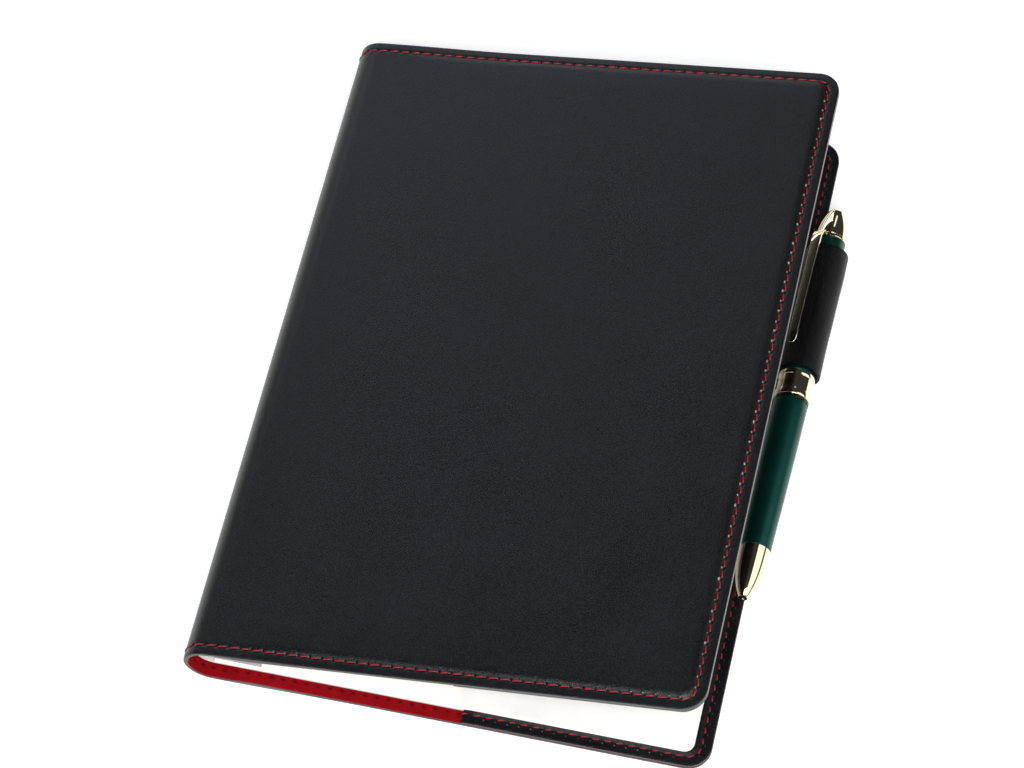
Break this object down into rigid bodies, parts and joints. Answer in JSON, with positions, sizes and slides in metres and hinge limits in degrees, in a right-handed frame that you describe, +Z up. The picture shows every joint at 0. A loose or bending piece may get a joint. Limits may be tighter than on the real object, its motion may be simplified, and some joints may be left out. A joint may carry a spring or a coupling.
{
  "type": "notebook cover",
  "caption": "Soft leather book-style notebook cover with red suede lining, pocket flaps and contrast seam, holding a bound notebook and a twist pen in a side loop.",
  "frame": {"origin": "centre of the flat underside of the back panel, on which the cover lies", "axes": "+X from the spine to the fore-edge, +Y along the spine to the head, +Z up from the surface that the cover lies on"},
  "size_m": [0.1637, 0.218, 0.041],
  "materials": {
    "cover_leather": "smooth fine-grained full leather, low sheen",
    "flap_leather": "glossy pebbled leather",
    "loop_leather": "matte fine-grained leather",
    "suede": "matte red suede lining",
    "core_board": "matte board with a thin foam pad",
    "thread": "red waxed sewing thread",
    "page_paper": "matte white paper",
    "card": "matte off-white card",
    "tape": "off-white binding cloth",
    "gold": "polished pale gold plate",
    "green_lacquer": "satin metallic green lacquer",
    "black_ring": "glossy black",
    "mechanism_brass": "plain turned brass",
    "refill_metal": "drawn metal tube"
  },
  "bodies": {
    "back_cover": {"back_outer_leather": "cover_leather", "back_panel_core": "core_board", "back_lining": "suede", "back_pocket_flap": "flap_leather", "back_stitching": "thread", "pen_loop": "loop_leather", "notebook_back_card": "card", "notebook_page_block": "page_paper", "notebook_binding_tape": "tape"},
    "spine": {"spine_outer_leather": "cover_leather", "spine_lining": "suede", "spine_stitching": "thread", "notebook_spine_card": "card"},
    "front_cover": {"front_outer_leather": "cover_leather", "front_panel_core": "core_board", "front_lining": "suede", "front_pocket_flap": "flap_leather", "front_stitching": "thread", "notebook_front_card": "card"},
    "pen": {"pen_finial": "gold", "pen_clip_band": "gold", "pen_upper_barrel": "green_lacquer", "pen_centre_ring": "gold", "pen_twist_mechanism": "mechanism_brass"},
    "pen_clip": {"pen_clip": "gold"},
    "pen_lower": {"pen_lower_barrel": "green_lacquer", "pen_joint_ring": "black_ring", "pen_tip_cone": "gold"},
    "pen_refill": {"pen_refill_tube": "refill_metal", "pen_refill_point": "mechanism_brass"}
  },
  "joints": [
    {"name": "back_hinge", "type": "hinge", "parent": "back_cover", "child": "spine", "pos_m": [-0.07437, 0, 0.00213], "axis": [0, -1, 0], "range_deg": [-3.2, 84.9]},
    {"name": "front_hinge", "type": "hinge", "parent": "spine", "child": "front_cover", "pos_m": [-0.07533, 0, 0.01283], "axis": [0, -1, 0], "range_deg": [-3.2, 84.9]},
    {"name": "pen_slide", "type": "slide", "parent": "back_cover", "child": "pen", "axis": [0.0239, 0.9997, 0], "range_m": [0, 0.125]},
    {"name": "clip_flex", "type": "hinge", "parent": "pen", "child": "pen_clip", "pos_m": [0.07707, 0.06896, 0.01436], "axis": [-0.8478, 0.0203, -0.5299], "range_deg": [0, 2.5], "stiffness_Nm_per_rad": 0.6},
    {"name": "pen_twist", "type": "hinge", "parent": "pen", "child": "pen_lower", "pos_m": [0.07859, 0.01071, 0.0097], "axis": [0.0239, 0.9997, 0], "range_deg": [0, 150]},
    {"name": "refill_feed", "type": "slide", "parent": "pen", "child": "pen_refill", "axis": [-0.0239, -0.9997, 0], "range_m": [0, 0.0036]}
  ],
  "couplings": [
    {"joint": "front_hinge", "follows": "back_hinge", "ratio": 1},
    {"joint": "refill_feed", "follows": "pen_twist", "m_per_rad": 0.001337}
  ]
}
